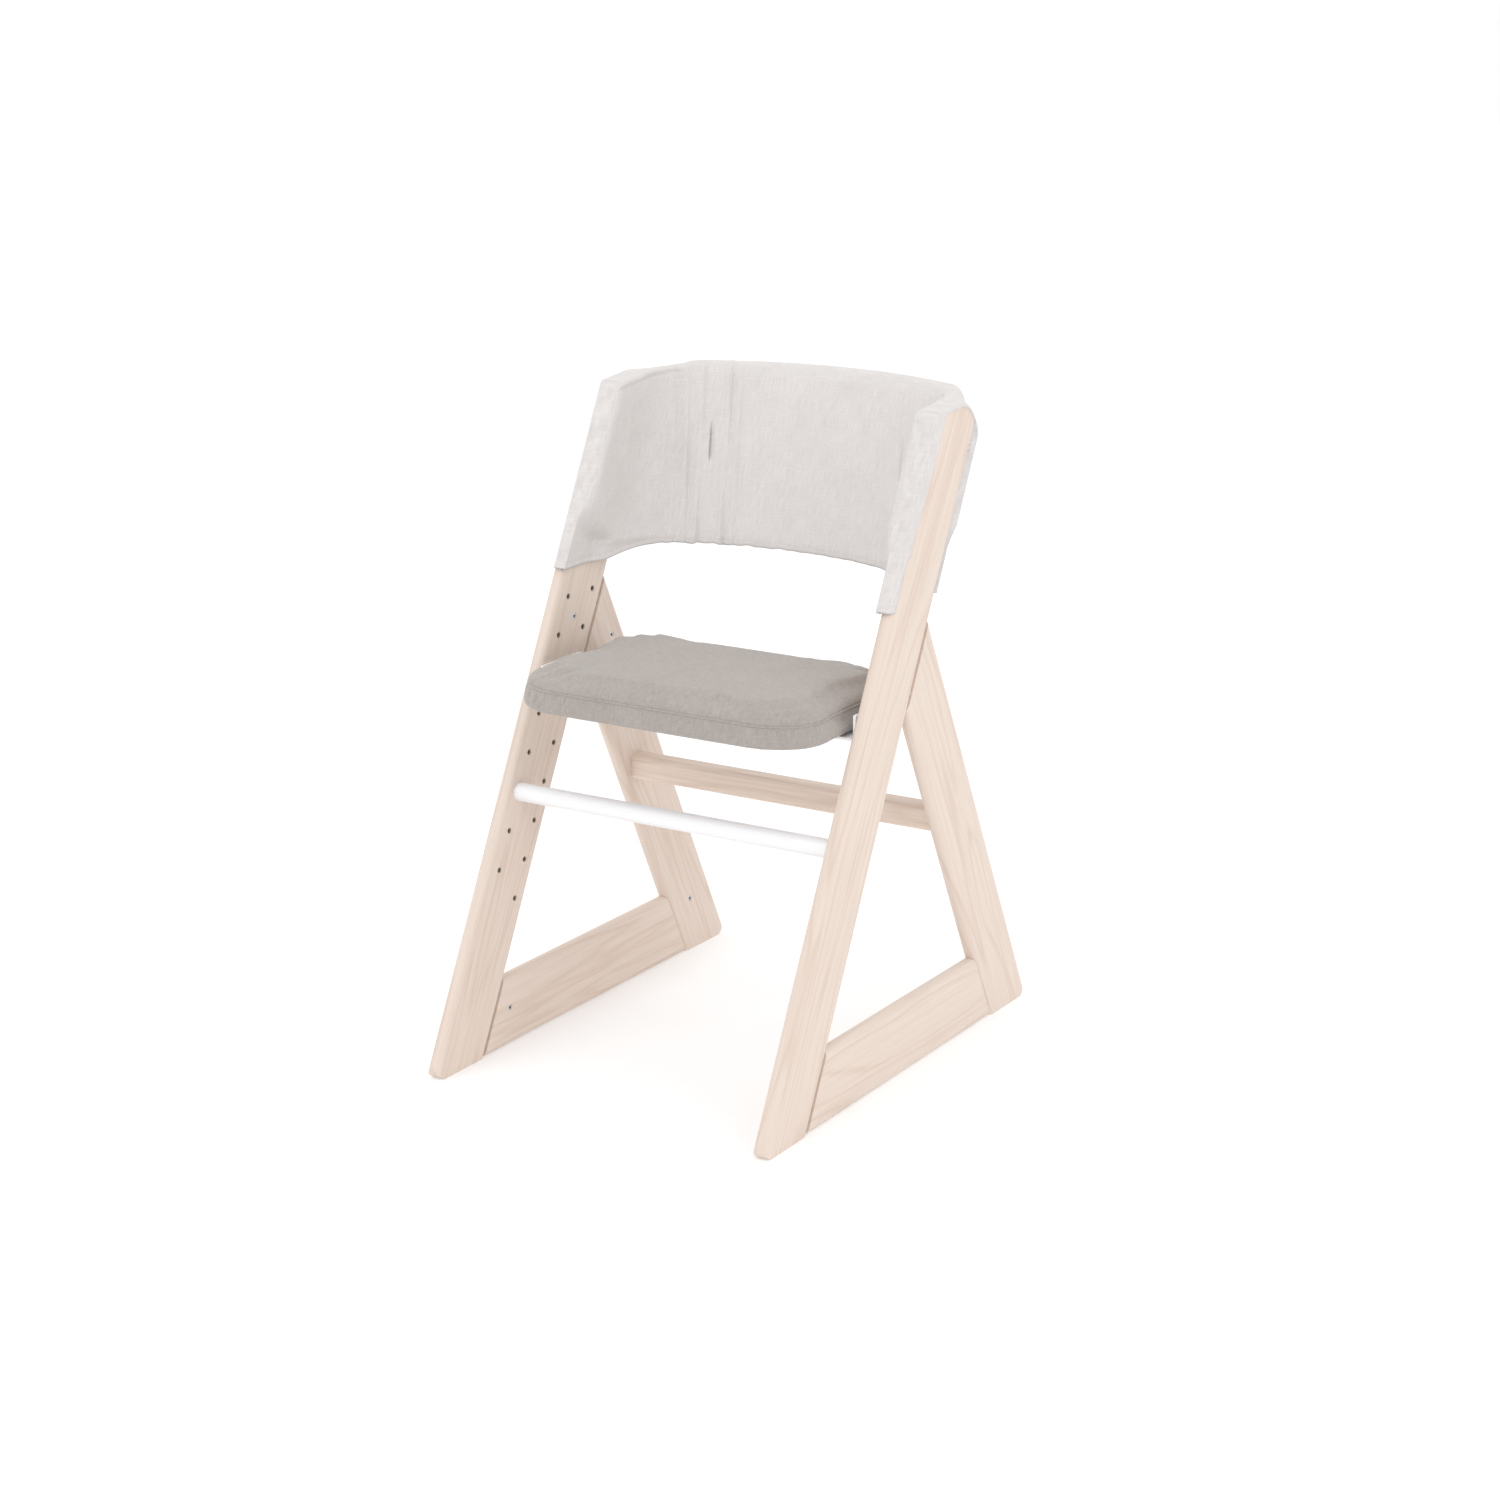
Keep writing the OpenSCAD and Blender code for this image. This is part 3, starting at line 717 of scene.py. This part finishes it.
def half_paths():
    """The inner and outer faces of the sleeve seen along the legs, from the middle to the nose."""
    tilt = math.degrees(math.asin(BEND_X / (BOW_R - BEND_R)))
    turn_over = tilt + 0.55 * (90 - tilt)
    inner_r = BOW_R - PLY - COVER
    bend_r = BEND_R - PLY - COVER
    outer_r = BOW_R + COVER
    corner_x = HALF_WIDTH - 4 * MM
    corner = math.degrees(math.asin(corner_x / outer_r))
    inner = [
        arc(0, BOW_U, inner_r, 0, tilt) + arc(BEND_X, BEND_U, bend_r, tilt, turn_over)[1:],
        arc(BEND_X, BEND_U, bend_r, turn_over, 90) + [(WING_X, 5 * MM)],
        [
            (WING_X, 5 * MM),
            (WING_X + 1 * MM, 1 * MM),
            (WING_X + 5 * MM, -2.6 * MM),
            (WING_X + 10 * MM, -4 * MM),
            NOSE,
        ],
    ]
    face = HALF_WIDTH + 1.4 * MM
    outer = [
        arc(0, BOW_U, outer_r, 0, corner, 60),
        [(corner_x, 94 * MM), (HALF_WIDTH - 1 * MM, 92.5 * MM), (face, 89 * MM), (face, 6 * MM)],
        [
            (face, 6 * MM),
            (face - 1.5 * MM, 1.5 * MM),
            (face - 4.5 * MM, -2 * MM),
            (face - 9 * MM, -4 * MM),
            NOSE,
        ],
    ]
    counts = (118, 46, 9)
    inner = [even_path(p, count=n) for p, n in zip(inner, counts)]
    outer = [even_path(p, count=n) for p, n in zip(outer, counts)]
    return joined(inner), joined(outer), counts


def leg_cap_z(u, grow):
    """The height of the leg's rounded, gently rising top at a distance across it, grown outwards."""
    per_step = math.cos(LEAN) - math.sin(LEAN) * math.tan(TOP_RISE)
    z = LEG_CORNER_Z - (MEMBER_WIDTH - u) / per_step * math.tan(TOP_RISE) + grow / math.cos(TOP_RISE)
    corner_y = LEG_CORNER_Z / 2 + MEMBER_WIDTH / math.cos(LEAN)
    sides = np.array([[math.cos(LEAN), -math.sin(LEAN)], [-math.sin(TOP_RISE), math.cos(TOP_RISE)]])
    for radius, centre_u, sign in ((20 * MM, 20 * MM, -1), (30 * MM, MEMBER_WIDTH - 30 * MM, 1)):
        _, centre_z = np.linalg.solve(sides, (centre_u, sides[1] @ (corner_y, LEG_CORNER_Z) - radius))
        reach = radius + grow
        turned = np.arcsin(np.clip((u - centre_u) / reach, -1, 1)) + LEAN
        past = (turned + TOP_RISE) * sign > 0
        z = np.where(past, centre_z + reach * np.cos(turned), z)
    return z


def shell_front(z):
    """Where the plywood's front edge is at a height, across the leg."""
    rise = np.clip(z - SHELL_Z - WING_CORNER, -WING_CORNER, WING_CORNER * math.sin(LEAN))
    y = -np.sqrt(np.maximum(WING_CORNER ** 2 - rise ** 2, 0))
    return WING_CORNER + y * math.cos(LEAN) - rise * math.sin(LEAN)


# creases of the sleeve's inner face: place at the top, depth (minus stands proud) and width
CREASES = [
    (-204, 1.2, 2.4), (-198, -2.2, 2.6), (-191, 2.6, 2.2), (-184, -4.2, 3.2), (-176, 3.2, 2.0),
    (-168, -4.6, 3.4), (-160, 2.2, 2.2), (-146, -1.6, 3.0), (-137, -3.8, 3.4), (-129, 3.2, 2.0),
    (-122, -3.6, 3.2), (-114, 2.0, 2.4), (-98, 0.7, 3.0), (-70, 0.6, 4.0), (-20, 0.4, 4.0),
    (60, 0.5, 5.0), (104, 0.6, 4.0),
]
CREASE_LEAN = 0.195
SLITS_X = (-152 * MM, 118 * MM)
SLIT_LOW, SLIT_HIGH = 688 * MM, 747 * MM
SLIT_DEPTH = 9 * MM


def crease_depth(x, z):
    top_x = x - CREASE_LEAN * (RIM_Z - z)
    depth = np.zeros_like(x)
    for place, deep, wide in CREASES:
        fade = 0.7 + 0.3 * np.sin(z * 31 + place)
        depth += deep * MM * fade * np.exp(-(((top_x - place * MM) / (wide * MM)) ** 2))
    inside = smooth_step((z - SLIT_LOW) / (12 * MM)) * smooth_step((SLIT_HIGH - z) / (30 * MM))
    for slit_x in SLITS_X:
        depth += SLIT_DEPTH * inside * np.exp(-(((top_x - slit_x) / (1.5 * MM)) ** 2))
    return depth


def hem_height(inner, side):
    """The hem hangs lowest at the wings and is gathered along the back."""
    x, u = inner[:, 0], inner[:, 1]
    z = HEM_WING_Z + (HEM_BACK_Z - HEM_WING_Z) * smooth_step((u - 48 * MM) / (72 * MM))
    at_back = smooth_step((u - 90 * MM) / (30 * MM))
    gathers = HEM_GATHER * np.sin(x * 210 * side + 1) * np.sin(x * 83 * side) * at_back
    return z + gathers * (1.0 if side < 0 else 0.4)


INNER_ROWS = 92
OUTER_ROWS = 76
RIM_ROWS = 11
HEM_ROWS = 4


def sleeve_rings(side):
    """Rings of the sleeve round each station from the middle of the back to one nose."""
    inner, outer, counts = half_paths()
    wing_from = counts[0] - 1
    stations = np.arange(len(inner))
    on_wing = stations >= wing_from
    width = np.linalg.norm(outer - inner, axis=1)
    way = (inner - outer) / np.maximum(width, 1e-6)[:, None]
    way[width < 8 * MM] = (0, -1)
    bottom = hem_height(inner, side)
    wing_top = leg_cap_z(np.minimum(inner[:, 1], 45 * MM), RIM_RISE)
    rim_in = wing_top + (RIM_Z - wing_top) * smooth_step((inner[:, 1] - 30 * MM) / (70 * MM))
    drop = smooth_step((outer[:, 0] - 190 * MM) / (60 * MM)) * 50 * MM
    rim_out = np.where(on_wing, leg_cap_z(outer[:, 1], RIM_RISE), RIM_Z - drop)
    rim_out[:wing_from] = np.maximum(rim_out[:wing_from], rim_out[wing_from])
    over_back = smooth_step((wing_from + 6 - stations) / 26.0)
    lift = np.minimum(width / 2, (6 + 4 * over_back) * MM)
    lift = np.maximum(lift, 1.5 * MM)

    def inner_face(share):
        z = bottom + (rim_in - lift - bottom) * share
        x, u = inner[:, 0].copy(), inner[:, 1].copy()
        hug = smooth_step((shell_front(z) - u + 2 * MM) / (36 * MM))
        below = smooth_step((SHELL_Z - 1 * MM - z) / (10 * MM))
        on_side = smooth_step((x - 180 * MM) / (22 * MM))
        on_leg = smooth_step((62 * MM - u) / (24 * MM))
        hug = np.maximum(hug * smooth_step((700 * MM - z) / (30 * MM)), below) * on_side * on_leg
        tuck = below * (1 - on_leg) * 3 * MM
        x = x + hug * np.maximum(0, HUG_X - x)
        deep = crease_depth(side * x, z) * (1 - on_side * 0.9)
        seam = 1.3 * MM * np.exp(-(((z - rim_in + 10.5 * MM) / (1.7 * MM)) ** 2))
        roll = -0.8 * MM * np.exp(-(((z - rim_in + 5 * MM) / (4 * MM)) ** 2))
        hem_edge = 0.7 * MM * np.exp(-(((z - bottom - 7 * MM) / (1.6 * MM)) ** 2))
        drape = [noise.noise(Vector((side * a * 11, h * 9, 1.3))) for a, h in zip(x, z)]
        slack = INNER_SLACK * np.array(drape)
        back = tuck + deep + seam + roll + hem_edge + slack * (1 - on_side * 0.6)
        back = np.where(width < 14 * MM, 0, back)
        return np.column_stack([x - way[:, 0] * back, u - way[:, 1] * back]), z

    def outer_face(share):
        z = bottom + (rim_out - lift - bottom) * share
        x, u = outer[:, 0].copy(), outer[:, 1].copy()
        strip = (4 + 9 * smooth_step((z - HEM_WING_Z) / (190 * MM))) * MM
        # where the wood is bare, the skin runs hidden inside the leg
        bare = on_wing & (u > strip) & (u < 90 * MM) & (z < leg_cap_z(u, 0.0) - 1.5 * MM)
        x = np.where(bare, HALF_WIDTH - HIDDEN_DEPTH, x)
        u = np.where(bare & (u > 86 * MM), 86 * MM, u)
        corner = np.exp(-(((stations - wing_from + 2) / 7.0) ** 2)) * (~bare)
        stuffed = smooth_step((z - STUFFED_LOW) / (30 * MM)) * smooth_step((STUFFED_HIGH - z) / (34 * MM))
        puff = CORNER_PUFF * corner * stuffed
        below = smooth_step((SHELL_Z - 1 * MM - z) / (10 * MM)) * (~on_wing)
        drape = [noise.noise(Vector((side * a * 9, h * 8, 5.9))) for a, h in zip(x, z)]
        slack = OUTER_SLACK * np.array(drape)
        slack = slack * (~on_wing)
        x = x + 0.25 * puff
        u = u + 0.97 * puff + slack - 5 * MM * below
        return np.column_stack([x, u]), z

    rows = []
    for j in range(INNER_ROWS):
        rows.append(inner_face(j / (INNER_ROWS - 1)))
    top_in, z_in = rows[-1]
    top_out, z_out = outer_face(1.0)
    for j in range(1, RIM_ROWS):
        share = j / RIM_ROWS
        blend = (1 - math.cos(math.pi * share)) / 2
        flat = top_in + (top_out - top_in) * blend
        fall = blend ** 1.8
        rows.append((flat, z_in + (z_out - z_in) * fall + lift * math.sin(math.pi * share) ** 0.8))
    for j in range(OUTER_ROWS):
        rows.append(outer_face(1 - j / (OUTER_ROWS - 1)))
    low_in, low_out = rows[0][0], rows[-1][0]
    for j in range(1, HEM_ROWS):
        share = j / HEM_ROWS
        rows.append((low_out + (low_in - low_out) * share, bottom + 3 * MM * math.sin(math.pi * share)))
    ring = np.empty((len(inner), len(rows), 3))
    uv = np.empty((len(inner), len(rows), 2))
    middle = (inner + outer) / 2
    along = np.concatenate([[0], np.cumsum(np.linalg.norm(np.diff(middle, axis=0), axis=1))])
    for j, (plan, z) in enumerate(rows):
        ring[:, j, 0] = side * plan[:, 0]
        ring[:, j, 1] = TIP_Y + z / 2 + plan[:, 1] / math.cos(LEAN)
        ring[:, j, 2] = z
        uv[:, j, 0] = side * along
        uv[:, j, 1] = z / math.cos(LEAN) + (0.3 if j > INNER_ROWS else 0.0)
    return ring, uv


def sew_sleeve():
    left, left_uv = sleeve_rings(-1)
    right, right_uv = sleeve_rings(1)
    right[0] = left[0] * (-1, 1, 1)
    rings = np.concatenate([left[::-1], right[1:]])
    uv = np.concatenate([left_uv[::-1], right_uv[1:]])
    mesh = sheet_mesh("backrest_sleeve", rings, True, uv)
    seal(mesh)
    mesh.shade_smooth()
    return new_piece("backrest_sleeve", mesh), rings


sleeve, sleeve_grid = sew_sleeve()
finish_piece(sleeve, "grey_linen", linen_cloth, "backrest_cover")

STITCH_MARGIN = 3
inner_hem = sleeve_grid[8:-8, STITCH_MARGIN]
hem_stitches = along_seam(
    "hem_stitches", stitch_row, inner_hem, False, linen_thread,
    stitch_pitch=4.2 * MM, stitch_length=3.0 * MM, thread_radius=0.35 * MM,
)
finish_piece(hem_stitches, "grey_linen", linen_thread)

# ---- the hardware and the backrest's plywood keep their CAD shapes and get their finishes ----
NODE_FINISH = {
    zinc: [
        "left_joint_studs", "right_joint_studs", "left_barrel_nuts", "right_barrel_nuts", "crossbar_studs",
        "crossbar_barrel_nuts", "left_bracket_bolts", "right_bracket_bolts", "seat_board_screws",
        "left_backrest_bolts", "right_backrest_bolts",
    ],
    insert_steel: [
        "left_leg_inserts", "right_leg_inserts", "crossbar_inserts", "left_backrest_inserts",
        "right_backrest_inserts",
    ],
    dowel_wood: ["left_frame_dowels", "right_frame_dowels", "crossbar_dowels"],
    white_coat: ["footrest_end_plugs", "left_seat_bracket", "right_seat_bracket"],
    ply_wood: ["backrest_shell"],
}
for finish, names in NODE_FINISH.items():
    for name in names:
        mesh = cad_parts[name].data
        mesh.materials.clear()
        mesh.materials.append(finish)


# ---- floor, light and camera ----
def pale_floor():
    half = 14.0
    mesh = bpy.data.meshes.new("floor")
    corners = [(-half, -half, 0), (half, -half, 0), (half, half, 0), (-half, half, 0)]
    mesh.from_pydata(corners, [], [(0, 1, 2, 3)])
    floor = new_piece("floor", mesh)
    material, _, shader = new_material("studio_floor")
    shader.inputs["Base Color"].default_value = (0.86, 0.86, 0.865, 1)
    shader.inputs["Emission Color"].default_value = (1, 1, 1, 1)
    shader.inputs["Emission Strength"].default_value = 0.2
    shader.inputs["Roughness"].default_value = 0.9
    shader.inputs["Specular IOR Level"].default_value = 0.1
    mesh.materials.append(material)


def soft_light(name, place, target, size, power):
    lamp = bpy.data.lights.new(name, "AREA")
    lamp.shape = "DISK"
    lamp.size = size
    lamp.energy = power
    light = bpy.data.objects.new(name, lamp)
    light.location = place
    light.rotation_euler = (Vector(target) - Vector(place)).to_track_quat("-Z", "Y").to_euler()
    bpy.context.scene.collection.objects.link(light)


def studio():
    world = bpy.data.worlds.new("studio")
    bpy.context.scene.world = world
    world.use_nodes = True
    sky = world.node_tree.nodes["Background"]
    sky.inputs["Color"].default_value = (1, 1, 1, 1)
    sky.inputs["Strength"].default_value = 1.0
    middle = (0, 0, 0.45)
    soft_light("key_light", (-1.6, -3.2, 3.4), middle, 2.6, 22)
    soft_light("side_light", (3.4, -0.6, 2.2), middle, 2.4, 14)
    soft_light("top_light", (0.2, 0.6, 4.0), middle, 3.2, 12)
    bpy.context.scene.view_settings.view_transform = "Standard"


def camera():
    lens = bpy.data.cameras.new("camera")
    lens.lens = 73.99
    lens.sensor_width = 36.0
    eye = Vector((1.92704, -3.05931, 1.40843))
    right = Vector((0.84914, 0.52816, -0.00218))
    up = Vector((-0.14383, 0.23522, 0.96124))
    back = right.cross(up)
    turn = Matrix((right, up, back)).transposed()
    view = bpy.data.objects.new("camera", lens)
    view.matrix_world = Matrix.Translation(eye) @ turn.to_4x4()
    bpy.context.scene.collection.objects.link(view)
    bpy.context.scene.camera = view


pale_floor()
studio()
camera()
